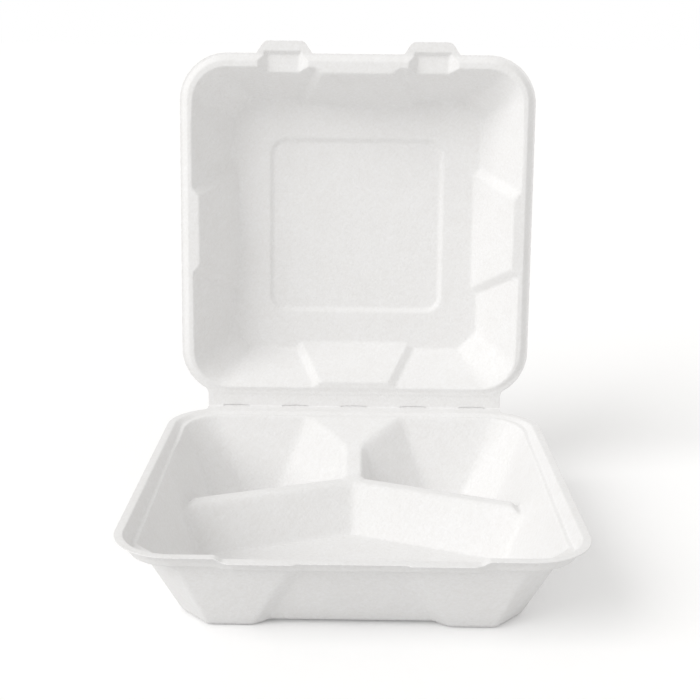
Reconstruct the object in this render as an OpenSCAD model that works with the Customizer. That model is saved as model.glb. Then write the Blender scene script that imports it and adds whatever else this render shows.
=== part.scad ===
// Three-compartment clamshell food container in moulded pulp, standing open.
// X runs along the hinge, Y from the front lip to the hinge, Z up from the table.
// The origin is the middle of the tray, at table height.

/* [Sheet] */
// Thickness of the pulp sheet
sheet = 0.7; // [0.5:0.1:1]
// Clearance between tray and lid, at the lips and along the fold
gap = 0.3; // [0.2:0.05:0.6]

/* [Tray] */
// Width of the tray over its lips
tray_w = 228; // [210:1:260]
// Depth of the tray over its lips
tray_d = 224; // [206:1:256]
// Height of the tray's lip above the table
tray_h = 48; // [42:1:60]
// Corner radius of the tray's lip
tray_corner = 31; // [27:1:36]
// Width of the flat lip
lip_w = 4.5; // [3.5:0.5:6]
// Depth of the nesting step at the front
step_h = 7; // [5.5:0.5:8]
// Depth of the nesting step at the hinge side
back_step_h = 1.3; // [1.2:0.1:2]
// How far the step leans in
step_lean = 3.3; // [2.5:0.1:4]
// Width of the ledge at the foot of the step
ledge_w = 2.6; // [2:0.1:4]
// Distance from the hinge side to the bend where the ledge begins to climb faster
ledge_knee_l = 52; // [44:1:60]
// Share of the ledge's climb that is done at this bend
ledge_knee_part = 0.49; // [0.4:0.01:0.55]
// How far the side walls lean in, from ledge to floor
side_lean = 19.8; // [15:0.5:24]
// How far the front wall leans in, from ledge to floor
front_lean = 17.5; // [15:0.5:22]
// How far the back wall leans in, from ledge to floor
back_lean = 19.4; // [16:0.5:23]
// Cut of the floor's front corners
front_cut = 14.5; // [10:0.5:18]
// Cut of the floor's back corners
back_cut = 19; // [14:0.5:24]
// Cut of the walls' front corners where they meet the ledge
ledge_cut = 21; // [18:0.5:24]
// Chamfer along the foot of the walls
foot_edge = 1.6; // [1:0.1:2.5]

/* [Dividers] */
// Height of the cross ridge above the table
ridge_h = 26; // [20:1:32]
// Thickness of the cross ridge along its top, measured along Y
ridge_t = 10.5; // [8:0.5:14]
// Distance from the tray's middle to the tip of the ridge, at its centre line
ridge_y = 46.5; // [38:0.5:52]
// How far the ridge sweeps forward for each millimetre to the side
ridge_sweep = 0.4; // [0.25:0.01:0.5]
// How far the ridge's front face leans for each millimetre of height
ridge_front_lean = 0.67; // [0.5:0.01:0.75]
// How far the ridge's back face leans for each millimetre of height
ridge_back_lean = 0.59; // [0.45:0.01:0.65]
// Width of the ridge's sloping end at each side wall
ridge_end_w = 12; // [8:1:16]
// How far the ridge's end falls for each millimetre of its width
ridge_end_fall = 0.75; // [0.5:0.05:0.9]
// Width of the short divider along its neck
neck_w = 10.8; // [9:0.2:14]
// Length of the short divider's flared part, from the ledge to the neck
flare_l = 25.7; // [22:0.1:30]
// Width of the flared part where it meets the ledge
flare_w = 58; // [50:1:66]
// How far the short divider's sides lean for each millimetre of height
neck_lean = 0.43; // [0.35:0.01:0.5]

/* [Front] */
// Width of the lowered front lip
notch_w = 117; // [108:1:124]
// Length of the slope at each end of the lowered lip
notch_ramp = 7; // [5:0.5:10]
// How far the front lip is lowered
notch_h = 2.4; // [1.5:0.1:3]
// Width of each catch on the lowered lip
catch_w = 32; // [26:1:34]
// How far the catches stand out
catch_out = 1.8; // [1:0.1:3]
// Depth of the recessed panels in the front wall and in the lid's walls
panel_in = 3.8; // [2:0.1:5]
// Width of the front panel under the ledge
panel_top_w = 46; // [36:1:56]
// Width of the front panel at the table
panel_foot_w = 83; // [74:1:92]
// Height of the panel's lower edge above the table
panel_lift = 1.6; // [1:0.1:2.5]
// Length of the raised floor behind the front panel
pad_l = 30; // [20:1:40]
// Width of the raised floor's sloping edge
pad_edge = 5; // [3:1:8]

/* [Hinge] */
// Length of the hinge strip
hinge_w = 187; // [170:1:190]
// Distance from the tray's lip line to the fold
tray_strip = 5.8; // [5:0.1:7]
// Distance from the fold to the lid's lip line
lid_strip = 7.5; // [7:0.1:9]
// Number of slits along the fold
slits = 5; // [3:1:7]
// Length of one slit
slit_l = 17; // [12:1:20]
// Distance from slit to slit
slit_pitch = 37.8; // [24:0.1:38]
// Depth of the slit into each side of the fold
slit_cut = 0.45; // [0.3:0.05:0.8]
// Radius where the strip runs into a lip
strip_fillet = 5; // [3:0.5:7]
// Angle from closed at which the lid stands
lid_open = 96; // [90:1:120]

/* [Lid] */
// Width of the lid over its lips
lid_w = 220; // [212:1:222]
// Depth of the lid from the fold to its front edge
lid_reach = 221; // [210:1:224]
// Depth of the lid below its lip
lid_h = 30; // [24:1:36]
// Corner radius of the lid's lip
lid_corner = 29.5; // [26:0.5:33]
// Width of the lid's flat outer lip
lid_lip_w = 1.3; // [1:0.1:1.8]
// Height of the nesting ring at the front and the sides
ring_h = 3; // [2.5:0.1:3.4]
// Height of the nesting ring at the hinge side
back_ring_h = 0.5; // [0.3:0.1:0.5]
// Distance from the lip line at the hinge to where the ring begins to rise
ring_start = 8; // [6:1:12]
// Length over which the ring rises to its full height
ring_run = 34; // [30:1:44]
// How far the ring leans in from the lip
ring_lean = 3.4; // [2.8:0.1:4.2]
// Width of the flat ring
ring_w = 3.3; // [2.5:0.1:4]
// How far the lid's side walls lean in
lid_side_lean = 22; // [18:0.5:25]
// How far the lid's front and back walls lean in
lid_end_lean = 18; // [15:0.5:21]
// Cut of the corners of the lid's floor
lid_cut = 12; // [9:0.5:15]
// Width of the lid's panels at the ring
lid_panel_top_w = 42; // [32:1:46]
// Width of the lid's panels at the floor
lid_panel_foot_w = 64; // [54:1:72]
// Width of the sloping sides of the panels
panel_side = 7; // [5:0.5:9]
// Side of the raised square in the lid's floor
crown_w = 113; // [100:1:118]
// Height of the raised square
crown_h = 1.2; // [0.8:0.1:2]
// Width of the raised square's sloping edge
crown_edge = 3; // [2:0.5:4]
// Corner radius of the raised square
crown_corner = 11; // [8:1:16]

/* [Tabs] */
// Distance from the middle to each tab's centre
tab_x = 45.5; // [42:0.5:48]
// Width of a tab at its root
tab_w = 35; // [30:1:38]
// Width of a tab at its tip
tab_tip_w = 24; // [20:1:28]
// How far a tab stands out from the lid's edge
tab_out = 7.5; // [5:0.5:8]
// Cut of the corners of a tab's tip
tab_corner = 1.5; // [1:0.1:2]
// Width of the pocket behind the tab, at the ring
pocket_w = 31; // [26:1:33]
// Width of the pocket's floor
pocket_floor_w = 19; // [14:1:22]
// Depth of the pocket's floor below the lip
pocket_h = 2.2; // [1.5:0.1:3]
// How far the pocket reaches past the lid's edge
pocket_out = 1.2; // [0.8:0.1:2]

/* [Hidden] */
arc_steps = 7;
clear = 1;
far = 40;
seam = 0.05;
rim = tray_w / 2;
front_y = -tray_d / 2;
back_y = tray_d / 2;
fold_y = back_y + tray_strip;
fold_z = tray_h + gap / 2;
step_in = lip_w + step_lean;
wall_in = step_in + ledge_w;
ledge_front = tray_h - step_h;
ledge_back = tray_h - back_step_h;
flare_h = ledge_back - seam;
ledge_knee_y = back_y - ledge_knee_l;
ledge_knee = ledge_front + ledge_knee_part * (ledge_back - ledge_front);
wall_y = back_y - wall_in;
tray_rise = ledge_front - sheet;
lid_back = lid_strip;
lid_front = lid_reach;
lid_mid = (lid_back + lid_front) / 2;
ring_in = lid_lip_w + ring_lean;
lid_wall_in = ring_in + ring_w;
lid_rise = lid_h + ring_h;
pulp = [0.93, 0.93, 0.92];

// Height on a slope that runs from one place and height to another
function between(y, y0, z0, y1, z1) = z0 + (z1 - z0) * (y - y0) / (y1 - y0);

// Height of the tray's ledge at a place along Y
function ledge_z(y) =
    y < ledge_knee_y
    ? between(y, front_y, ledge_front, ledge_knee_y, ledge_knee)
    : min(ledge_back, between(y, ledge_knee_y, ledge_knee, wall_y, ledge_back));

// Outline of a rectangle with rounded corners
function rounded(x, y0, y1, r) = [
    for (corner = [[1, 1, 0], [-1, 1, 90], [-1, -1, 180], [1, -1, 270]])
        for (i = [0:arc_steps])
            let (a = corner[2] + 90 * i / arc_steps, yc = corner[1] > 0 ? y1 - r : y0 + r)
                [corner[0] * (x - r) + r * cos(a), yc + r * sin(a)]
];

// Outline of a rectangle with cut corners
function cut(x, y0, y1, c0, c1) = [
    [x, y1 - c1], [x - c1, y1], [c1 - x, y1], [-x, y1 - c1],
    [-x, y0 + c0], [c0 - x, y0], [x - c0, y0], [x, y0 + c0]
];

// Outlines set at a height, on the ledge, and points mirrored to both sides
function level(outline, z) = [for (p = outline) [p[0], p[1], z]];
function on_ledge(outline, dz) = [for (p = outline) [p[0], p[1], ledge_z(p[1]) + dz]];
function both(points) = [for (p = points) each [p, [for (i = [0:len(p) - 1]) i > 0 ? p[i] : -p[0]]]];

// Sideways thickness of a sheet that leans in over a height
function skin(lean, rise) = sheet * sqrt(lean * lean + rise * rise) / rise;

// Convex solid on a set of corner points
module body(points) {
    hull() polyhedron(points, [[for (i = [0:len(points) - 1]) i]]);
}

// Outlines of the tray: its lip line with an inset, the same with the ledge's bend, and its floor
// with a growth
function lip_line(inset) = rounded(rim - inset, front_y + inset, back_y - inset, tray_corner - inset);
function ledge_line(inset) = concat(
    lip_line(inset),
    [[rim - inset, ledge_knee_y], [inset - rim, ledge_knee_y]]
);

// Outline where the walls meet the ledge: round at the back, cut at the front corners
function wall_line(inset) = concat(
    [for (p = lip_line(inset)) if (p[1] > 0) p],
    both([
        [rim - inset, front_y + inset + ledge_cut],
        [rim - inset - ledge_cut, front_y + inset]
    ])
);

function floor_line(grow) = cut(
    rim - wall_in - side_lean + grow,
    front_y + wall_in + front_lean - grow,
    wall_y - back_lean + grow,
    front_cut, back_cut
);

// Space inside the tray, or with a grown skin the solid that the sheet is cut from
module tray_space(grown) {
    s = grown ? skin(step_lean, step_h) : 0;
    w = grown ? skin(side_lean, tray_rise) : 0;
    drop = grown ? sheet : 0;
    over = grown ? -sheet / 2 : clear;
    slope = side_lean / tray_rise;
    step_slope = step_lean / step_h;
    body(concat(
        level(lip_line(lip_w - s + step_slope * drop / 2), tray_h + over),
        level(lip_line(lip_w - s + step_slope * drop / 2), tray_h - drop / 2),
        on_ledge(ledge_line(step_in - s + step_slope * drop), -drop)
    ));
    body(concat(
        on_ledge(wall_line(wall_in - w - slope * over), over),
        level(floor_line(w + slope * (foot_edge - drop)), sheet - drop + foot_edge),
        level(floor_line(w - slope * drop - foot_edge), sheet - drop)
    ));
}

// Cross ridge: one half, with g taken off its top and faces for the space underneath
module ridge_half(side, g) {
    flat_x = rim - wall_in - ridge_end_w - side_lean / tray_rise * (ledge_front - ridge_h);
    end_x = rim + far;
    base = -clear;
    front_in = ridge_t / 2 - g * sqrt(1 + pow(ridge_front_lean, 2) + pow(ridge_sweep, 2));
    back_in = ridge_t / 2 - g * sqrt(1 + pow(ridge_back_lean, 2) + pow(ridge_sweep, 2));
    body([
        for (x = [0, flat_x, flat_x + ridge_end_w])
            for (z = [base, ridge_h - g - ridge_end_fall * max(0, x - flat_x)])
                let (crest_y = ridge_y - ridge_sweep * x)
                    each [
                        [side * x, crest_y - front_in - ridge_front_lean * (ridge_h - z), z],
                        [side * x, crest_y + back_in + ridge_back_lean * (ridge_h - z), z]
                    ]
    ]);
}

// Top of the short divider falls from the ledge to the ridge
function divider_z(y) = between(y, ridge_y, ridge_h, wall_y, flare_h);

// Short divider, with g taken off for the space underneath
module divider(g) {
    base = -clear;
    turn = atan2((flare_w - neck_w) / 2, flare_l);
    inset = g * sqrt(1 + neck_lean * neck_lean);
    neck_y = wall_y - flare_l + inset * tan(turn / 2);
    end_y = g > 0 ? back_y + far : wall_y + clear;
    neck = neck_w / 2 - inset;
    flare = flare_w / 2 - inset / cos(turn);
    neck_out = neck_lean * (divider_z(neck_y) - base);
    flare_out = neck_lean * (flare_h - base);
    neck_foot = [neck + neck_out, neck_y - neck_out * tan(turn / 2), base];
    body(both([
        [neck, ridge_y, ridge_h - g],
        [neck, neck_y, divider_z(neck_y) - g],
        [neck + neck_out, ridge_y, base],
        neck_foot
    ]));
    body(both([
        [neck, neck_y, divider_z(neck_y) - g],
        [flare, wall_y, flare_h - g],
        [flare, end_y, flare_h - g],
        neck_foot,
        [flare + flare_out * cos(turn), wall_y - flare_out * sin(turn), base],
        [flare + flare_out * cos(turn), end_y, base]
    ]));
}

// Recessed front panel with its lifted edge, with g taken off for the space outside it
module front_panel(g) {
    low_z = g > 0 ? -clear : 0;
    slope = front_lean / tray_rise;
    step = g > 0 ? skin(front_lean, tray_rise) : 0;
    foot_y = front_y + wall_in + front_lean;
    face_top = front_y + wall_in - step + panel_in;
    face_low = foot_y + slope * (sheet - low_z) - step + panel_in;
    top_w = panel_top_w / 2 - step;
    low_w = panel_foot_w / 2 - step;
    spread = panel_side * far / panel_in;
    body(both([
        [top_w, face_top, ledge_z(face_top) - seam - g],
        [low_w, face_low, low_z],
        [top_w + spread, face_top - far, ledge_z(face_top - far) - seam - g],
        [low_w + spread, face_low - far, low_z]
    ]));
    body(both([
        [low_w, foot_y - foot_edge, sheet + panel_lift - g],
        [low_w - pad_edge, foot_y + pad_l - pad_edge, sheet + panel_lift - g],
        [low_w + pad_edge, foot_y - foot_edge, low_z],
        [low_w, foot_y + pad_l, low_z]
    ]));
}

// Everything that rises from the tray's floor
module rises(g) {
    for (side = [-1, 1]) ridge_half(side, g);
    divider(g);
    front_panel(g);
}

// Flat plate between two heights
module plate(z) {
    translate([0, 0, z - sheet]) linear_extrude(sheet) children();
}

// Strip that reaches from a lip line to the fold, its slits open at the edge
module strip(lip, fold, fillet) {
    way = sign(fold - lip);
    edge = fold - way * gap / 2;
    difference() {
        offset(r = -fillet, $fn = 48) offset(delta = fillet) union() {
            children();
            translate([-hinge_w / 2, min(lip - way * tray_corner / 2, fold)])
                square([hinge_w, abs(fold - lip) + tray_corner / 2]);
        }
        translate([-rim - far, min(edge, edge + way * far)]) square([2 * (rim + far), far]);
        for (i = [0:slits - 1])
            translate([(i - (slits - 1) / 2) * slit_pitch, edge])
                scale([slit_l / 2, slit_cut]) circle(1, $fn = 24);
    }
}

// Wedge over the lowered front lip: z0 is its height there, z1 that of the lip beside it
module notch_band(z0, z1, y0) {
    half = notch_w / 2;
    body([
        for (y = [y0, front_y + step_in])
            each both([[half, y, z0], [half + notch_ramp, y, z1], [half + notch_ramp, y, z1 + seam]])
    ]);
}

// Two catches that stand out from the lowered lip
module catches() {
    for (side = [-1, 1])
        translate([side * (notch_w / 2 - clear - catch_w / 2), front_y])
            plate(tray_h - notch_h) polygon([
                [-catch_w / 2, 0],
                [catch_out - catch_w / 2, -catch_out],
                [catch_w / 2 - catch_out, -catch_out],
                [catch_w / 2, 0],
                [catch_w / 2, lip_w / 2],
                [-catch_w / 2, lip_w / 2]
            ]);
}

// The tray: lip, hollow, dividers, front panel and its half of the hinge strip
module tray() {
    low = tray_h - notch_h;
    color(pulp) difference() {
        union() {
            plate(tray_h) strip(back_y, fold_y, strip_fillet) polygon(lip_line(0));
            notch_band(low - sheet, tray_h - sheet, front_y);
            catches();
            tray_space(true);
        }
        notch_band(low, tray_h, front_y - catch_out - clear);
        difference() {
            tray_space(false);
            rises(0);
        }
        rises(sheet);
    }
}

// Outlines of the lid, laid flat behind the fold: its lip line with an inset, the same line cut off
// at a distance from the hinge side, and its floor with a growth
function lid_line(inset) = rise_line(inset, inset);
function rise_line(inset, start) =
    rounded(lid_w / 2 - inset, lid_back + start, lid_front - inset, lid_corner - inset);

function lid_floor(grow) = cut(
    lid_w / 2 - lid_wall_in - lid_side_lean + grow,
    lid_back + lid_wall_in + lid_end_lean - grow,
    lid_front - lid_wall_in - lid_end_lean + grow,
    lid_cut, lid_cut
);

// Space inside the lid, or with a grown skin the solid that its sheet is cut from
module lid_space(grown) {
    w = grown ? skin(lid_side_lean, lid_rise) : 0;
    drop = grown ? sheet : 0;
    slope = lid_side_lean / lid_rise;
    crown = crown_w / 2 + drop;
    body(concat(
        level(lid_line(lid_wall_in - w - slope * clear), ring_h + clear),
        level(lid_floor(w + slope * (foot_edge - drop)), foot_edge - lid_h - drop),
        level(lid_floor(w - slope * drop - foot_edge), -lid_h - drop)
    ));
    body(concat(
        level(crown_line(crown, 0), sheet / 2 - lid_h - drop),
        level(crown_line(crown, 0), -lid_h - drop),
        level(crown_line(crown, crown_edge), -lid_h - crown_h - drop)
    ));
}

// Outline of the raised square
function crown_line(half, inset) =
    rounded(half - inset, lid_mid - half + inset, lid_mid + half - inset, crown_corner - inset);

// Nesting ring of the lid, with g taken off for the channel behind it
module ring(g) {
    s = g > 0 ? skin(ring_lean, ring_h) - g * ring_lean / ring_h : 0;
    base = g > 0 ? -sheet - clear : -sheet / 2;
    body(concat(
        level(lid_line(lid_lip_w + s), base),
        level(lid_line(lid_lip_w + s), -g),
        level(lid_line(ring_in + s), back_ring_h - g)
    ));
    body(concat(
        level(rise_line(lid_lip_w + s, ring_start), base),
        level(rise_line(lid_lip_w + s, ring_start), -g),
        level(rise_line(ring_in + s, ring_start + ring_run), ring_h - g)
    ));
}

// Panel pushed into a wall of the lid: reach is the wall's distance from the lid's middle at the
// front ring's height, and rim_z the ring's height at this wall
module lid_panel(turn, reach, lean, rim_z, g) {
    slope = lean / lid_rise;
    step = g > 0 ? skin(lean, lid_rise) : 0;
    top_z = g > 0 ? rim_z - g - seam : ring_h + clear;
    low_z = g > 0 ? -lid_h - crown_h - sheet - clear : -lid_h;
    widen = (lid_panel_foot_w - lid_panel_top_w) / 2 / lid_rise;
    spread = panel_side * far / panel_in;
    translate([0, lid_mid, 0]) rotate([0, 0, turn]) body(both([
        for (z = [top_z, low_z])
            let (
                face = reach - slope * (ring_h - z) - panel_in + step,
                half = lid_panel_top_w / 2 + widen * (ring_h - z) - step
            )
                each [[half, face, z], [half + spread, face + far, z]]
    ]));
}

module lid_panels(g) {
    half_w = lid_w / 2 - lid_wall_in;
    half_l = (lid_front - lid_back) / 2 - lid_wall_in;
    lid_panel(0, half_l, lid_end_lean, ring_h, g);
    lid_panel(180, half_l, lid_end_lean, back_ring_h, g);
    for (turn = [90, 270]) lid_panel(turn, half_w, lid_side_lean, ring_h, g);
}

// Pocket behind a tab, grown for the sheet round it
module pocket(grow) {
    over = grow > 0 ? 0 : clear;
    back = lid_front - lid_wall_in - panel_in;
    edge = lid_front + pocket_out + grow;
    slope = (pocket_w - pocket_floor_w) / 2 / (ring_h + pocket_h);
    body(both([
        for (p = [
            [back, ring_h + over],
            [lid_front - ring_in + grow, ring_h + over],
            [edge, over],
            [edge, -grow / 2],
            [edge - pocket_out, -pocket_h - grow],
            [back, -pocket_h - grow]
        ])
            [pocket_floor_w / 2 + grow + slope * (pocket_h + p[1]), p[0], p[1]]
    ]));
}

// Half the outline of a tab, from its root inside the lip to its tip
function tab_half(side) = [
    [side * tab_w / 2, -clear],
    [side * tab_w / 2, 0],
    [side * (tab_tip_w / 2 + tab_corner), tab_out - tab_corner],
    [side * (tab_tip_w / 2 - tab_corner), tab_out]
];

module tab() {
    plate(0) polygon(concat(tab_half(1), [for (i = [3:-1:0]) tab_half(-1)[i]]));
}

module pockets(grow) {
    for (side = [-1, 1]) translate([side * tab_x, 0, 0]) pocket(grow);
}

// Dish of the lid with its panels and pockets, still solid
module dish() {
    difference() {
        lid_space(true);
        lid_panels(sheet);
    }
    pockets(sheet);
}

// The lid laid flat behind the fold, its lip at height 0 and the fold at Y 0
module flat_lid() {
    difference() {
        union() {
            difference() {
                union() {
                    plate(0) strip(lid_back, 0, strip_fillet) polygon(lid_line(0));
                    for (side = [-1, 1]) translate([side * tab_x, lid_front, 0]) tab();
                    ring(0);
                }
                difference() {
                    ring(sheet);
                    dish();
                }
            }
            intersection() {
                dish();
                translate([-rim, 0, -far]) cube([2 * rim, lid_reach + tab_out, far - seam]);
            }
        }
        difference() {
            lid_space(false);
            lid_panels(0);
        }
        pockets(0);
    }
}

// The lid as it stands open on the fold
module lid() {
    color(pulp) translate([0, fold_y, fold_z]) rotate([180 - lid_open, 0, 0])
        translate([0, 0, -gap / 2]) flat_lid();
}

tray();
lid();
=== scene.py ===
import math

import bpy
import numpy as np
from mathutils import Matrix, Vector
from mathutils.geometry import delaunay_2d_cdt


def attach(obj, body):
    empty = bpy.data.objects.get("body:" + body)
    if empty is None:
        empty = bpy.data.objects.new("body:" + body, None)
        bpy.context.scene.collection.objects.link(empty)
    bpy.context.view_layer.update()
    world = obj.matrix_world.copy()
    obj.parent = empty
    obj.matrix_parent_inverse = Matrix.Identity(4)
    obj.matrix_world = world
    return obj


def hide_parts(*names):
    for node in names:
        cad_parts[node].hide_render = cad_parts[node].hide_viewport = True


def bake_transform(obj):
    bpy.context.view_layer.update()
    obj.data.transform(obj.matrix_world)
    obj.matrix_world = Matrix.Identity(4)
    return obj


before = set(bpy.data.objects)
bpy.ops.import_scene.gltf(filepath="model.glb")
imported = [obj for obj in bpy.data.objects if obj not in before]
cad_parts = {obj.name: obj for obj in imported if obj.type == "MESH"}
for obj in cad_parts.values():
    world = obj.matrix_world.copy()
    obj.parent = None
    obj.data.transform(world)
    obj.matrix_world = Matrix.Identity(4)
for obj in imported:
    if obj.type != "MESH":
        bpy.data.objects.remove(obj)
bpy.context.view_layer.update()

# Sizes are in millimetres and follow the part's source. Tray and lid are sheets that lie
# on height fields: a field gives the height of the sheet's upper face over its plan.
MM = 0.001
STEP = 0.3          # of the fields' raster
SHEET = 0.7         # thickness of the pulp, and so the height of the tray's floor
RIM_BLUR = 0.38     # rounding of the edges near the rim

TRAY_W, TRAY_D, TRAY_H, TRAY_R = 228.0, 224.0, 48.0, 31.0
FRONT_Y, BACK_Y = -TRAY_D / 2, TRAY_D / 2
LIP, STEP_IN, WALL_IN = 4.5, 7.8, 10.4      # insets of the lip, the step and the walls
LEDGE_TOP = 46.7
LOW_LIP, LOW_LEDGE = 2.15, 1.4              # how much lower the front's middle lies
FLOOR_X, FLOOR_FRONT, FLOOR_BACK = 83.8, -84.1, 82.1
FRONT_LEAN = 0.434                          # of the front wall, per height
CORNER_CUT = 21
RIDGE_H, RIDGE_END, RIDGE_FALL = 26, 89.0, 0.75
PEAK_Y = 49
DIVIDER_HALF, FLARE_Y = 5.4, 76.2
PANEL_IN, PANEL_HALF, PANEL_FLARE = 3.8, 41.5, 7 / 3.8

LID_W, LID_BACK, LID_FRONT, LID_R = 220.0, 7.5, 221.0, 29.5
LID_MID = (LID_BACK + LID_FRONT) / 2
LID_LEAN = math.radians(84)
LID_FLOOR, LID_FLOOR_X, LID_FLOOR_IN = -30.0, 80.0, 26
LID_FLARE = 4.2 / 3.8
SQUARE, SQUARE_R, SQUARE_DEPTH = 56.5, 11.0, 2.0
TABS_FROM, POCKET_Z = 203, -2.2

FOLD_GAP = 0.15                             # from the fold's axis to either strip
FOLD_Y, FOLD_Z = BACK_Y + 5.8, TRAY_H + FOLD_GAP
STRIP_HALF, FILLET = 93.5, 5.0
SLIT_HALF, SLIT_CUT = 8.5, 0.55
SLITS = [(i - 2) * 37.75 for i in range(5)]


# ---------------------------------------------------------------- heights and outlines

def smax(a, b, k):
    h = np.clip(k - np.abs(a - b), 0, None) / k
    return np.maximum(a, b) + h * h * k / 4


def smin(a, b, k):
    return -smax(-a, -b, k)


def ramp(x, a, b):
    t = np.clip((x - a) / (b - a), 0, 1)
    return t * t * (3 - 2 * t)


def inset_of(x, y, hx, y0, y1, r):
    """Distance inside a rounded rectangle, negative outside."""
    cx = np.abs(x) - (hx - r)
    cy = np.abs(y - (y0 + y1) / 2) - ((y1 - y0) / 2 - r)
    out = np.hypot(np.maximum(cx, 0), np.maximum(cy, 0)) + np.minimum(np.maximum(cx, cy), 0)
    return r - out


def round_line(hx, y0, y1, r, steps=16):
    pts = []
    for sx, sy, a0 in ((1, 1, 0), (-1, 1, 90), (-1, -1, 180), (1, -1, 270)):
        for i in range(steps + 1):
            a = math.radians(a0 + 90 * i / steps)
            yc = y1 - r if sy > 0 else y0 + r
            pts.append((sx * (hx - r) + r * math.cos(a), yc + r * math.sin(a)))
    return np.array(pts)


def cut_line(hx, y0, y1, cf, cb):
    """Floor outline with cut corners: cf in front and cb behind are (along x, along y)."""
    return np.array([
        (hx, y1 - cb[1]), (hx - cb[0], y1), (cb[0] - hx, y1), (-hx, y1 - cb[1]),
        (-hx, y0 + cf[1]), (cf[0] - hx, y0), (hx - cf[0], y0), (hx, y0 + cf[1])])


def dish_planes(floor, z_floor, ring, ring_z):
    """Planes on the floor outline and the ring above: the highest of them is the wall."""
    angles = [math.radians(a) for a in np.arange(0, 360, 3.0)]
    for a, b in zip(floor, np.roll(floor, -1, axis=0)):
        e = b - a
        angles.append(math.atan2(-e[0], e[1]))
    found = []
    for t in angles:
        n = np.array((math.cos(t), math.sin(t)))
        hb = (floor @ n).max()
        reach = ring @ n - hb
        ok = reach > 0.5
        if not ok.any():
            continue
        k = ((ring_z[ok] - z_floor) / reach[ok]).min()
        found.append((k * n[0], k * n[1], z_floor - k * hb))
    return found


def highest(planes, x, y):
    z = np.full(x.shape, -1e3)
    for a, b, c in planes:
        np.maximum(z, a * x + b * y + c, out=z)
    return z


def blur(z, sigma):
    s = sigma / STEP
    n = int(math.ceil(3 * s))
    k = np.exp(-0.5 * (np.arange(-n, n + 1) / s) ** 2)
    k /= k.sum()
    for axis in (0, 1):
        pad = [(0, 0), (0, 0)]
        pad[axis] = (n, n)
        wide = np.pad(z, pad, mode="edge")
        size = z.shape[axis]
        z = sum(w * np.take(wide, np.arange(i, i + size), axis=axis) for i, w in enumerate(k))
    return z


def soften(z, d, sigma, d0, d1):
    """The roundings of pulp: small at the rim, and sigma from the inset d1 inwards."""
    w = ramp(d, d0, d1)
    return blur(z, RIM_BLUR) * (1 - w) + blur(z, sigma) * w


class Field:
    """A height field on a fine raster, read with cubic interpolation."""

    def __init__(self, x0, x1, y0, y1, height):
        self.x0, self.y0 = x0, y0
        self.nx = int(round((x1 - x0) / STEP)) + 1
        self.ny = int(round((y1 - y0) / STEP)) + 1
        x = x0 + STEP * np.arange(self.nx)
        y = y0 + STEP * np.arange(self.ny)
        self.Z = height(*np.meshgrid(x, y))
        self.gy, self.gx = np.gradient(self.Z, STEP)

    def _taps(self, p):
        u = (p[:, 0] - self.x0) / STEP
        v = (p[:, 1] - self.y0) / STEP
        i = np.clip(np.floor(u).astype(int), 1, self.nx - 3)
        j = np.clip(np.floor(v).astype(int), 1, self.ny - 3)
        return i, j, u - i, v - j

    @staticmethod
    def _cubic(t):
        return (
            ((-t + 2) * t - 1) * t / 2,
            ((3 * t - 5) * t * t + 2) / 2,
            ((-3 * t + 4) * t + 1) * t / 2,
            (t - 1) * t * t / 2,
        )

    def read(self, grid, p):
        i, j, fu, fv = self._taps(p)
        wu, wv = self._cubic(fu), self._cubic(fv)
        out = np.zeros(len(p))
        for b in range(4):
            row = sum(wu[a] * grid[j + b - 1, i + a - 1] for a in range(4))
            out += wv[b] * row
        return out

    def at(self, p):
        """Heights and normals at the points p."""
        z = self.read(self.Z, p)
        n = np.column_stack((-self.read(self.gx, p), -self.read(self.gy, p), np.ones(len(p))))
        return z, n / np.linalg.norm(n, axis=1)[:, None]

    def points(self, tolerance, finest, coarsest):
        """Corners of a quadtree that is fine where the surface bends."""
        xx = np.gradient(self.gx, STEP, axis=1)
        yy = np.gradient(self.gy, STEP, axis=0)
        xy = np.gradient(self.gx, STEP, axis=0)
        curved = np.sqrt(xx ** 2 + yy ** 2 + 2 * xy ** 2)
        curved /= np.sqrt(1 + self.gx ** 2 + self.gy ** 2)
        want = np.sqrt(8 * tolerance / np.maximum(curved, 1e-6))
        want = np.clip(want, finest, coarsest * 2)
        size = big = int(round(coarsest / STEP))
        ny, nx = (self.ny - 1) // big * big, (self.nx - 1) // big * big
        marks = np.zeros((self.ny, self.nx), bool)
        cells = np.ones((ny // big, nx // big), bool)
        while True:
            w = want[:ny, :nx].reshape(ny // size, size, nx // size, size).min(axis=(1, 3))
            j, i = np.nonzero(cells)
            for dj in (0, size):
                for di in (0, size):
                    marks[j * size + dj, i * size + di] = True
            if size == 1 or size * STEP <= finest * 1.01:
                break
            split = cells & (w < size * STEP)
            cells = np.repeat(np.repeat(split, 2, axis=0), 2, axis=1)
            size //= 2
        j, i = np.nonzero(marks)
        return np.column_stack((self.x0 + STEP * i, self.y0 + STEP * j))


def arc(cx, cy, r, angles):
    return [(cx + r * math.cos(a), cy + r * math.sin(a)) for a in angles]


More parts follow.
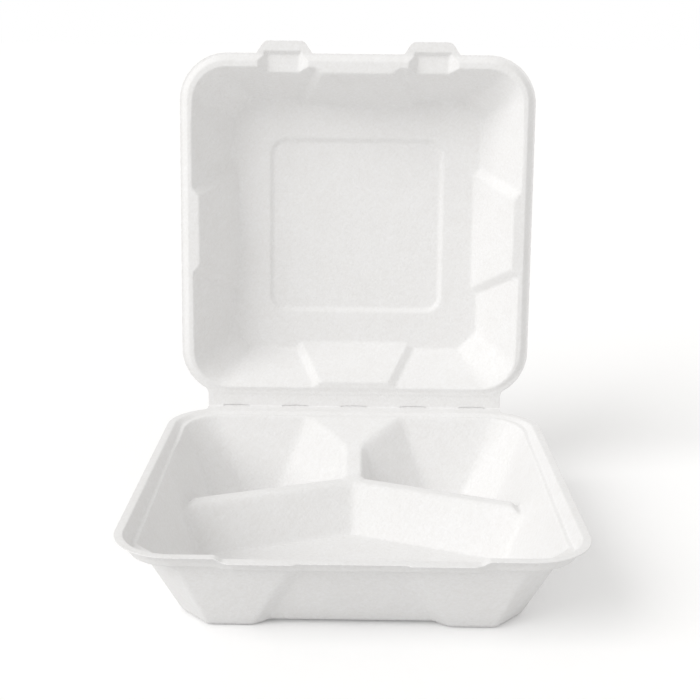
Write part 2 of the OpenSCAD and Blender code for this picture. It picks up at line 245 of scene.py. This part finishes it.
def strip_outline(hx, y0, y1, r, edge, front):
    """Outline in plan: a rounded rectangle, the hinge strip out to edge on the +y side with
    its bites for the slits, and front(x) more on the -y side."""
    cx, cy = hx - r, y1 - r
    fx = STRIP_HALF + FILLET
    fy = cy + math.sqrt((r + FILLET) ** 2 - (fx - cx) ** 2)
    meet = math.atan2(fy - cy, fx - cx)
    n = max(2, int(meet * r / 1.5))
    pts = [(u, y0 - front(u)) for u in np.arange(0, cx + 0.01, 0.6)]
    pts += arc(cx, y0 + r, r, np.linspace(-math.pi / 2, 0, 33)[1:])
    pts += [(hx, v) for v in np.arange(y0 + r + 0.8, cy, 1.6)]
    pts += arc(cx, cy, r, [meet * i / n for i in range(n + 1)])
    pts += arc(fx, fy, FILLET, [meet + math.pi - meet * i / 8 for i in range(1, 9)])
    c = 0.7
    if edge - c > fy + 1:
        pts += [(STRIP_HALF, v) for v in np.arange(fy + 1, edge - c - 0.5, 1.0)]
    pts += arc(STRIP_HALF - c, edge - c, c, np.linspace(0, math.pi / 2, 5))
    x = np.arange(STRIP_HALF - 1.6, 0, -0.8)
    bite = np.zeros_like(x)
    for s in SLITS:
        bite = np.maximum(bite, np.sqrt(np.clip(1 - ((x - s) / SLIT_HALF) ** 2, 0, 1)))
    pts += [(u, edge - SLIT_CUT * b) for u, b in zip(x, bite)]
    left = [(-u, v) for u, v in pts if u > 1e-6][::-1]
    return np.array(pts + left)


def offset_line(line, d):
    t = np.roll(line, -1, axis=0) - np.roll(line, 1, axis=0)
    t /= np.linalg.norm(t, axis=1)[:, None]
    return line + d * np.column_stack((-t[:, 1], t[:, 0]))


def inside(line, p):
    """Points inside a closed line, by crossing number."""
    hit = np.zeros(len(p), bool)
    for (x0, y0), (x1, y1) in zip(line, np.roll(line, -1, axis=0)):
        if y0 == y1:
            continue
        cross = (p[:, 1] >= min(y0, y1)) & (p[:, 1] < max(y0, y1))
        if cross.any():
            xs = x0 + (p[cross, 1] - y0) * (x1 - x0) / (y1 - y0)
            hit[np.nonzero(cross)[0][p[cross, 0] < xs]] ^= True
    return hit


def near(line, p, gap):
    """Points within about gap of the corners and middles of a line."""
    marks = np.vstack((line, (line + np.roll(line, -1, axis=0)) / 2))
    cell = np.floor(marks / gap).astype(int)
    keys = set()
    for dx in (-1, 0, 1):
        for dy in (-1, 0, 1):
            keys.update(map(tuple, cell + (dx, dy)))
    mine = np.floor(p / gap).astype(int)
    return np.array([tuple(c) in keys for c in mine])


def thin_out(groups, gap):
    """One point per cell: an earlier group's before a later one's."""
    taken, kept = set(), []
    for g in groups:
        cells = np.floor(g / gap).astype(int)
        for p, c in zip(g, map(tuple, cells)):
            if c not in taken:
                taken.add(c)
                kept.append(p)
    return np.array(kept)


def rim_points(insets, hx, y0, y1, r):
    """Points along lines at the given insets from a rounded outline."""
    pts = []
    for d in insets:
        line = round_line(hx - d, y0 + d, y1 - d, r - d, 24)
        for a, b in zip(line, np.roll(line, -1, axis=0)):
            n = max(1, int(round(np.hypot(*(b - a)) / 2.0)))
            pts += [a + (b - a) * i / n for i in range(n)]
    return np.array(pts)


# ---------------------------------------------------------------- meshes

def mesh_object(name, co, normals, faces, material):
    me = bpy.data.meshes.new(name)
    me.vertices.add(len(co))
    me.vertices.foreach_set("co", co.astype(np.float32).ravel())
    me.loops.add(len(faces) * 3)
    me.loops.foreach_set("vertex_index", faces.astype(np.int32).ravel())
    me.polygons.add(len(faces))
    me.polygons.foreach_set("loop_start", np.arange(0, len(faces) * 3, 3, dtype=np.int32))
    me.polygons.foreach_set("use_smooth", np.ones(len(faces), bool))
    me.update(calc_edges=True)
    me.validate()
    me.normals_split_custom_set_from_vertices(normals)
    me.materials.append(material)
    ob = bpy.data.objects.new(name, me)
    bpy.context.scene.collection.objects.link(ob)
    return ob


def turn(place, n):
    """Normals as the mapping place turns them."""
    n = place(n) - place(np.zeros((1, 3)))
    return n / np.linalg.norm(n, axis=1)[:, None]


def rough_edge(outline):
    """The trimmed edge of pulp isn't quite even. The hinge strip stays straight."""
    run = np.cumsum(np.hypot(*(outline - np.roll(outline, 1, axis=0)).T))
    rough = np.sin(run * 0.83) + np.sin(run * 1.71 + 1) + np.sin(run * 3.3 + 2)
    rough *= 0.05 * (outline[:, 1] < outline[:, 1].max() - 9)
    return outline + (offset_line(outline, 1) - outline) * rough[:, None]


def sheet_object(name, field, outline, points, place, material):
    """A sheet on a height field, with a rounded edge, put where place says."""
    edge_in, edge_down = 0.22, 0.2
    outline = rough_edge(outline)
    rim = offset_line(outline, edge_in)
    n_rim = len(rim)
    points = points[inside(rim, points)]
    points = points[~near(rim, points, 0.45)]

    verts = [Vector(p) for p in np.vstack((rim, points))]
    edges = [(i, (i + 1) % n_rim) for i in range(n_rim)]
    out = delaunay_2d_cdt(verts, edges, [], 1, 1e-5)
    plan = np.array([tuple(v) for v in out[0]])
    tris = np.array([f for f in out[2] if len(f) == 3])
    new_index = {old: i for i, olds in enumerate(out[3]) for old in olds}
    loop = np.array([new_index[i] for i in range(n_rim)])
    a, b, c = plan[tris[:, 0]], plan[tris[:, 1]], plan[tris[:, 2]]
    area = (b[:, 0] - a[:, 0]) * (c[:, 1] - a[:, 1]) - (b[:, 1] - a[:, 1]) * (c[:, 0] - a[:, 0])
    tris[area < 0] = tris[area < 0][:, ::-1]

    z, n = field.at(plan)
    top = np.column_stack((plan, z))
    low = top - SHEET * n
    zr, nr = field.at(outline)
    edge = np.column_stack((outline, zr))
    side = np.column_stack(((outline - rim), np.zeros(n_rim)))
    side /= np.linalg.norm(side, axis=1)[:, None]
    co = np.vstack((top, low, edge - edge_down * nr, edge - (SHEET - edge_down) * nr))
    no = np.vstack((n, -n, side + 0.45 * nr, side - 0.45 * nr))

    count = len(top)
    upper = 2 * count + np.arange(n_rim)
    lower = upper + n_rim
    following = np.roll(np.arange(n_rim), -1)

    def band(p, q):
        return np.vstack((np.column_stack((p, q, q[following])),
                          np.column_stack((p, q[following], p[following]))))

    faces = np.vstack((tris, tris[:, ::-1] + count, band(loop, upper), band(upper, lower),
                       band(lower, loop + count)))
    return mesh_object(name, place(co) * MM, turn(place, no), faces, material)


# ---------------------------------------------------------------- tray

def ledge(y):
    return np.interp(y, [FRONT_Y, 60, 101.5], [41, 43.8, LEDGE_TOP])


def tray_height(x, y):
    """The tray's rim, its dish and the inset from its outline."""
    ax = np.abs(x)
    d = inset_of(x, y, TRAY_W / 2, FRONT_Y, BACK_Y, TRAY_R)

    lowered = (1 - ramp(ax, 58.5, 63.5)) * (y < -90)
    shelf = ledge(y) - LOW_LEDGE * lowered
    lip = TRAY_H - LOW_LIP * lowered
    step_in = STEP_IN - 1.5 * ramp(-y, 70, 100)
    step = TRAY_H - (d - LIP) * (TRAY_H - shelf) / (step_in - LIP)
    rim = np.maximum(np.minimum(lip, step), shelf)

    top_x, top_y = TRAY_W / 2 - WALL_IN, FRONT_Y + WALL_IN
    ring = round_line(top_x, top_y, BACK_Y - WALL_IN, TRAY_R - WALL_IN)
    cut = [(q * top_x, top_y + CORNER_CUT) for q in (-1, 1)]
    cut += [(q * (top_x - CORNER_CUT), top_y) for q in (-1, 1)]
    ring = np.vstack((ring[ring[:, 1] > 0], cut))
    floor = cut_line(FLOOR_X, FLOOR_FRONT, FLOOR_BACK, (14, 14.5), (17.3, 22.5))
    wall = highest(dish_planes(floor, SHEET, ring, ledge(ring[:, 1])), x, y)

    swept = 0.4 * (np.sqrt(x * x + 4) - 1.2)
    front = RIDGE_H + (y - (41.3 - swept)) / 0.66
    back = RIDGE_H - (y - (51.7 - swept)) / 0.59
    crest = np.minimum(RIDGE_H, RIDGE_H - RIDGE_FALL * (ax - RIDGE_END))
    ridge = smin(crest, np.minimum(front, back), 3.4)

    top = np.minimum(RIDGE_H + (y - PEAK_Y) * 0.4, LEDGE_TOP)
    flare = math.atan2(29 - DIVIDER_HALF, 101.5 - FLARE_Y)
    straight = (DIVIDER_HALF - ax) / 0.45
    flared = (DIVIDER_HALF - ax + (y - FLARE_Y) * math.tan(flare)) * math.cos(flare) / 0.7
    divider = smin(top, top + smax(straight, flared, 6.0), 3.6)
    divider = np.where(y > 44, divider, -99)

    inner = FLOOR_FRONT + PANEL_IN - y
    face = SHEET + inner / FRONT_LEAN
    flank_lean = FRONT_LEAN * PANEL_FLARE + 0.50
    flank = SHEET + (PANEL_HALF + PANEL_FLARE * inner - ax) / flank_lean
    panel = np.minimum(np.minimum(face, flank), shelf)
    pad = np.minimum(2.2, SHEET + np.minimum((44.5 - ax) / 3, (y + 53) / -9))

    dish = smax(smax(wall, ridge, 5.5), divider, 4.0)
    dish = smax(np.maximum(dish, panel), np.maximum(SHEET, pad), 1.6)
    return rim, dish, d


def tray_field(x, y):
    rim, dish, d = tray_height(x, y)
    corner = ramp(-y, 74, 84) * ramp(np.abs(x), 70, 84)
    return soften(smin(rim, dish, 0.1 + 4.0 * corner), d, 0.8, 12.0, 17.0)


def catch(x):
    """How far the two catches stand out of the front lip."""
    return 1.3 * float(ramp(17.0 - abs(abs(x) - 41.8), 0.0, 2.4))


def tray_points(field):
    insets = (1.0, 2.4, 3.6, 4.1, 4.5, 4.9, 5.5, 6.2, 6.8, 7.3,
              7.7, 8.1, 8.7, 9.4, 9.9, 10.3, 10.8, 11.5, 12.4)
    rings = rim_points(insets, TRAY_W / 2, FRONT_Y, BACK_Y, TRAY_R)
    tree = field.points(0.05, 0.6, 4.8)
    ax = np.abs(tree[:, 0])
    d = inset_of(ax, tree[:, 1], TRAY_W / 2, FRONT_Y, BACK_Y, TRAY_R)
    lip_ends = (tree[:, 1] < -90) & (ax > 54) & (ax < 69)
    keep = (d > 12.9) | (d < 0.6) | lip_ends
    return thin_out([rings, tree[keep]], 0.5)


def same(p):
    return p


# ---------------------------------------------------------------- lid
# It is built lying flat: z is the height towards the tray, and -y runs away from the fold.

def ring_height(v):
    return np.interp(v, [12, 40, 221], [0.8, 2.2, 3.3])


def lid_height(x, y):
    v = -y
    ax = np.abs(x)
    d = inset_of(x, v, LID_W / 2, LID_BACK, LID_FRONT, LID_R)
    rim_top = ring_height(v)
    rim = np.clip((d - 1.3) / 3.4, 0, 1) * rim_top
    rim = np.maximum(rim, 0.25 * np.clip((d - 0.1) / 0.7, 0, 1) * (1 - ramp(v, 14, 30)))

    ring = round_line(LID_W / 2 - 8.1, LID_BACK + 5.2, LID_FRONT - 8.8, LID_R - 8.1)
    v0, v1 = LID_BACK + LID_FLOOR_IN, LID_FRONT - LID_FLOOR_IN
    floor = cut_line(LID_FLOOR_X, v0, v1, (12, 12), (12, 12))
    z = highest(dish_planes(floor, LID_FLOOR, ring, ring_height(ring[:, 1])), x, v)

    beside = np.abs(v - 111.5)
    for across, reach, edge, half, run, rise in (
            (ax, v - LID_MID, v1 - LID_MID, 35.0, 17.2, 33.3),
            (ax, LID_MID - v, v1 - LID_MID, 35.0, 20.8, 30.9),
            (beside, x, LID_FLOOR_X, 36.5, 21.9, 32.8),
            (beside, -x, LID_FLOOR_X, 36.5, 21.9, 32.8)):
        inner = reach - edge + PANEL_IN
        face = LID_FLOOR + inner * rise / run
        flank_lean = run / rise * LID_FLARE + (half - 21.5) / rise
        flank = LID_FLOOR + (half + LID_FLARE * inner - across) / flank_lean
        z = np.maximum(z, np.minimum(np.minimum(face, flank), rim_top))

    square = inset_of(x, v, SQUARE, LID_MID - SQUARE, LID_MID + SQUARE, SQUARE_R)
    z = smax(z, LID_FLOOR - SQUARE_DEPTH * np.clip((square - 0.2) / 2.4, 0, 1), 0.8)
    rise_x = (np.abs(ax - 46.3) - 9.6) * 0.95
    rise_v = (v - 220.8) * 1.6
    pocket = POCKET_Z + np.maximum(0, np.maximum(rise_x, rise_v))
    pocket = np.where(v > TABS_FROM, pocket, 99.0)
    return soften(np.minimum(np.minimum(rim, z), pocket), d, 0.7, 9.0, 13.5)


def tab(x):
    """How far the two closing tabs stand out of the front edge."""
    t = 17.3 - abs(abs(x) - 45.5)
    return float(np.clip(smin(t * 1.45, 7.5, 2.6), 0, None))


def at_tabs(p):
    ax = np.abs(p[:, 0])
    return (p[:, 1] < -TABS_FROM) & (ax > 24) & (ax < 68)


def lid_points(field):
    insets = (0.9, 1.3, 1.8, 2.6, 3.5, 4.2, 4.7, 5.3, 6.2, 7.1,
              7.7, 8.1, 8.6, 9.3, 10.2, 11.2, 12.4)
    rings = rim_points(insets, LID_W / 2, LID_BACK, LID_FRONT, LID_R) * (1, -1)
    rings = rings[~at_tabs(rings)]
    tree = field.points(0.05, 0.6, 4.8)
    d = inset_of(tree[:, 0], -tree[:, 1], LID_W / 2, LID_BACK, LID_FRONT, LID_R)
    keep = (d > 12.9) | (d < 0.4) | at_tabs(tree)
    return thin_out([rings, tree[keep]], 0.5)


def lid_place(p):
    """From the lid lying flat to where it stands."""
    v, h = -p[:, 1], p[:, 2] - FOLD_GAP
    c, s = math.cos(LID_LEAN), math.sin(LID_LEAN)
    return np.column_stack((-p[:, 0], FOLD_Y + v * c - h * s, FOLD_Z + v * s + h * c))


def on_lid(v, h):
    """Where the lid's point at v from the fold and height h stands, as (y, z)."""
    return lid_place(np.array([(0, -v, h)]))[0, 1:]


# ---------------------------------------------------------------- pulp

def pulp_material():
    """Matt white with clouds, a fine grain and two directions of fibre."""
    mat = bpy.data.materials.new("pulp")
    mat.use_nodes = True
    nt = mat.node_tree
    nt.nodes.clear()
    new = nt.nodes.new
    link = nt.links.new
    out = new("ShaderNodeOutputMaterial")
    bsdf = new("ShaderNodeBsdfPrincipled")
    link(bsdf.outputs[0], out.inputs[0])
    coord = new("ShaderNodeTexCoord")

    def noise(scale, detail, rough=0.55, stretch=(1, 1, 1), tilt=(0, 0, 0)):
        m = new("ShaderNodeMapping")
        m.vector_type = "TEXTURE"
        m.inputs["Rotation"].default_value = tilt
        m.inputs["Scale"].default_value = stretch
        n = new("ShaderNodeTexNoise")
        n.inputs["Scale"].default_value = scale
        n.inputs["Detail"].default_value = detail
        n.inputs["Roughness"].default_value = rough
        link(coord.outputs["Object"], m.inputs["Vector"])
        link(m.outputs[0], n.inputs["Vector"])
        return n.outputs["Fac"]

    def mix(a, b, share):
        m = new("ShaderNodeMath")
        m.operation = "MULTIPLY_ADD"
        link(b, m.inputs[0])
        m.inputs[1].default_value = share
        link(a, m.inputs[2])
        return m.outputs[0]

    clouds = noise(60, 2)
    grain = noise(760, 3, 0.62)
    fibre = noise(640, 2, 0.5, (3.2, 1, 1), (0.4, -0.62, 0.79))
    cross = noise(640, 2, 0.5, (3.2, 1, 1), (0.2, 0.7, -0.5))

    tone = mix(mix(mix(grain, clouds, 0.5), fibre, 0.8), cross, 0.5)
    mean = new("ShaderNodeMath")
    mean.operation = "MULTIPLY"
    mean.inputs[1].default_value = 1 / (1 + 0.5 + 0.8 + 0.5)
    link(tone, mean.inputs[0])
    shade = new("ShaderNodeValToRGB")
    dark, light = shade.color_ramp.elements
    dark.position, dark.color = 0.36, (0.815, 0.808, 0.80, 1)
    light.position, light.color = 0.64, (0.87, 0.87, 0.872, 1)
    link(mean.outputs[0], shade.inputs[0])
    link(shade.outputs[0], bsdf.inputs["Base Color"])
    bsdf.inputs["Roughness"].default_value = 0.85
    bsdf.inputs["Specular IOR Level"].default_value = 0.25

    relief = mix(mix(mix(grain, fibre, 0.9), cross, 0.6), noise(170, 2), 1.2)
    bump = new("ShaderNodeBump")
    bump.inputs["Strength"].default_value = 1.0
    bump.inputs["Distance"].default_value = 0.00017
    link(relief, bump.inputs["Height"])
    link(bump.outputs[0], bsdf.inputs["Normal"])
    return mat


PULP = pulp_material()

# ---------------------------------------------------------------- pieces

tray_f = Field(-120, 120, -118.2, 121.8, tray_field)
tray_line = strip_outline(TRAY_W / 2, FRONT_Y, BACK_Y, TRAY_R, FOLD_Y - FOLD_GAP, catch)
tray = sheet_object("tray_pulp", tray_f, tray_line, tray_points(tray_f), same, PULP)
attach(tray, "tray")
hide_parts("tray")

lid_f = Field(-115.2, 115.2, -232.2, 3.0, lid_height)
lid_line = strip_outline(LID_W / 2, -LID_FRONT, -LID_BACK, LID_R, -FOLD_GAP, tab)
lid = sheet_object("lid_pulp", lid_f, lid_line, lid_points(lid_f), lid_place, PULP)
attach(lid, "lid")
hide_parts("lid")


def smooth_bend(a, ta, b, tb, t):
    """Point and normal at t on the curve that leaves a along ta and comes to b along tb."""
    p = ((2 * t ** 3 - 3 * t ** 2 + 1) * a + (t ** 3 - 2 * t ** 2 + t) * ta
         + (3 * t ** 2 - 2 * t ** 3) * b + (t ** 3 - t ** 2) * tb)
    g = ((6 * t * t - 6 * t) * (a - b) + (3 * t * t - 4 * t + 1) * ta
         + (3 * t * t - 2 * t) * tb)
    g = g / np.hypot(*g)
    return p, np.array((-g[1], g[0]))


def quad(q, forward):
    q = q if forward else q[::-1]
    return [(q[0], q[1], q[2]), (q[0], q[2], q[3])]


def bend(name, spans, half, a, ta, b, tb):
    """Strips from a on the tray to b on the lid, one for each span of x, 2 * half thick."""
    co, no, faces = [], [], []
    wide, long = 5, 13
    rows = [smooth_bend(a, ta, b, tb, t) for t in np.linspace(0, 1, long)]
    for x0, x1 in spans:
        xs = np.linspace(x0, x1, wide)
        for face in (1, -1):
            base = len(co)
            for p, n in rows:
                q = p + face * half * n
                co += [(x, q[0], q[1]) for x in xs]
                no += [(0, face * n[0], face * n[1])] * wide
            for i in range(long - 1):
                for k in range(base + i * wide, base + i * wide + wide - 1):
                    faces += quad((k, k + 1, k + wide + 1, k + wide), face > 0)
        for side, x in ((-1, x0), (1, x1)):
            base = len(co)
            for p, n in rows:
                for face in (1, -1):
                    q = p + face * half * n
                    co.append((x, q[0], q[1]))
                    no.append((side, 0, 0))
            for k in range(base, base + 2 * (long - 1), 2):
                faces += quad((k, k + 1, k + 3, k + 2), side < 0)
    ob = mesh_object(name, np.array(co) * MM, np.array(no, float), np.array(faces), PULP)
    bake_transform(ob)
    return ob


up = np.array((math.cos(LID_LEAN), math.sin(LID_LEAN)))
ends = [-93.2] + [s + o for s in SLITS for o in (-8.3, 8.3)] + [93.2]
bend("hinge_webs", list(zip(ends[::2], ends[1::2])), 0.32,
     np.array((FOLD_Y - 0.55, TRAY_H - 0.35)), np.array((1.6, 0.0)),
     on_lid(0.55, -0.35), 1.6 * up)
bend("slit_floors", [(s - 9.0, s + 9.0) for s in SLITS], 0.2,
     np.array((FOLD_Y - 1.5, TRAY_H - 0.93)), np.array((2.4, -1.6)),
     on_lid(1.5, -0.93), 2.4 * up + (-1.6, 0.3))

# ---------------------------------------------------------------- floor, light and camera

scene = bpy.context.scene


def by_camera_ray(tree, lighting, seen, out):
    """Lighting is what the object's light meets, and seen is what the camera sees."""
    path = tree.nodes.new("ShaderNodeLightPath")
    pick = tree.nodes.new("ShaderNodeMixShader")
    tree.links.new(path.outputs["Is Camera Ray"], pick.inputs[0])
    tree.links.new(lighting.outputs[0], pick.inputs[1])
    tree.links.new(seen.outputs[0], pick.inputs[2])
    tree.links.new(pick.outputs[0], out.inputs[0])


floor_mat = bpy.data.materials.new("floor_white")
floor_mat.use_nodes = True
tree = floor_mat.node_tree
tree.nodes.clear()
plain = tree.nodes.new("ShaderNodeBsdfDiffuse")
plain.inputs["Color"].default_value = (0.87, 0.87, 0.87, 1)
glow = tree.nodes.new("ShaderNodeEmission")
glow.inputs["Strength"].default_value = 0.17
glowing = tree.nodes.new("ShaderNodeAddShader")
tree.links.new(plain.outputs[0], glowing.inputs[0])
tree.links.new(glow.outputs[0], glowing.inputs[1])
by_camera_ray(tree, plain, glowing, tree.nodes.new("ShaderNodeOutputMaterial"))
bpy.ops.mesh.primitive_plane_add(size=60.0, location=(0, 20.0, -0.0002))
floor = bpy.context.object
floor.name = "floor"
floor.data.materials.append(floor_mat)

world = scene.world or bpy.data.worlds.new("world")
scene.world = world
world.use_nodes = True
tree = world.node_tree
tree.nodes.clear()
sky, backdrop = (tree.nodes.new("ShaderNodeBackground") for _ in range(2))
sky.inputs["Color"].default_value = (1, 0.99, 0.975, 1)
sky.inputs["Strength"].default_value = 0.70
backdrop.inputs["Color"].default_value = (1, 1, 1, 1)
backdrop.inputs["Strength"].default_value = 1.0
by_camera_ray(tree, sky, backdrop, tree.nodes.new("ShaderNodeOutputWorld"))

key_data = bpy.data.lights.new("key", "SUN")
key_data.energy = 1.43
key_data.angle = math.radians(42)
key = bpy.data.objects.new("key", key_data)
key.rotation_euler = Vector((-0.66, -0.44, 0.61)).to_track_quat("Z", "Y").to_euler()
scene.collection.objects.link(key)

# The camera was fitted to the photograph: focal length in its pixels, place and turns.
PHOTO_W, FOCAL = 700, 1173.72
PITCH, YAW, ROLL = -0.258, 0.004, -0.011
cam_data = bpy.data.cameras.new("camera")
cam_data.sensor_fit = "HORIZONTAL"
cam_data.sensor_width = 36
cam_data.lens = cam_data.sensor_width * FOCAL / PHOTO_W
cam_data.clip_start = 0.01
cam = bpy.data.objects.new("camera", cam_data)
scene.collection.objects.link(cam)
cam.matrix_world = (
    Matrix.Translation((-0.000092, -0.602354, 0.275964))
    @ Matrix.Rotation(YAW, 4, "Z") @ Matrix.Rotation(PITCH, 4, "X")
    @ Matrix.Rotation(ROLL, 4, "Y") @ Matrix.Rotation(math.pi / 2, 4, "X"))
scene.camera = cam
scene.view_settings.view_transform = "Standard"
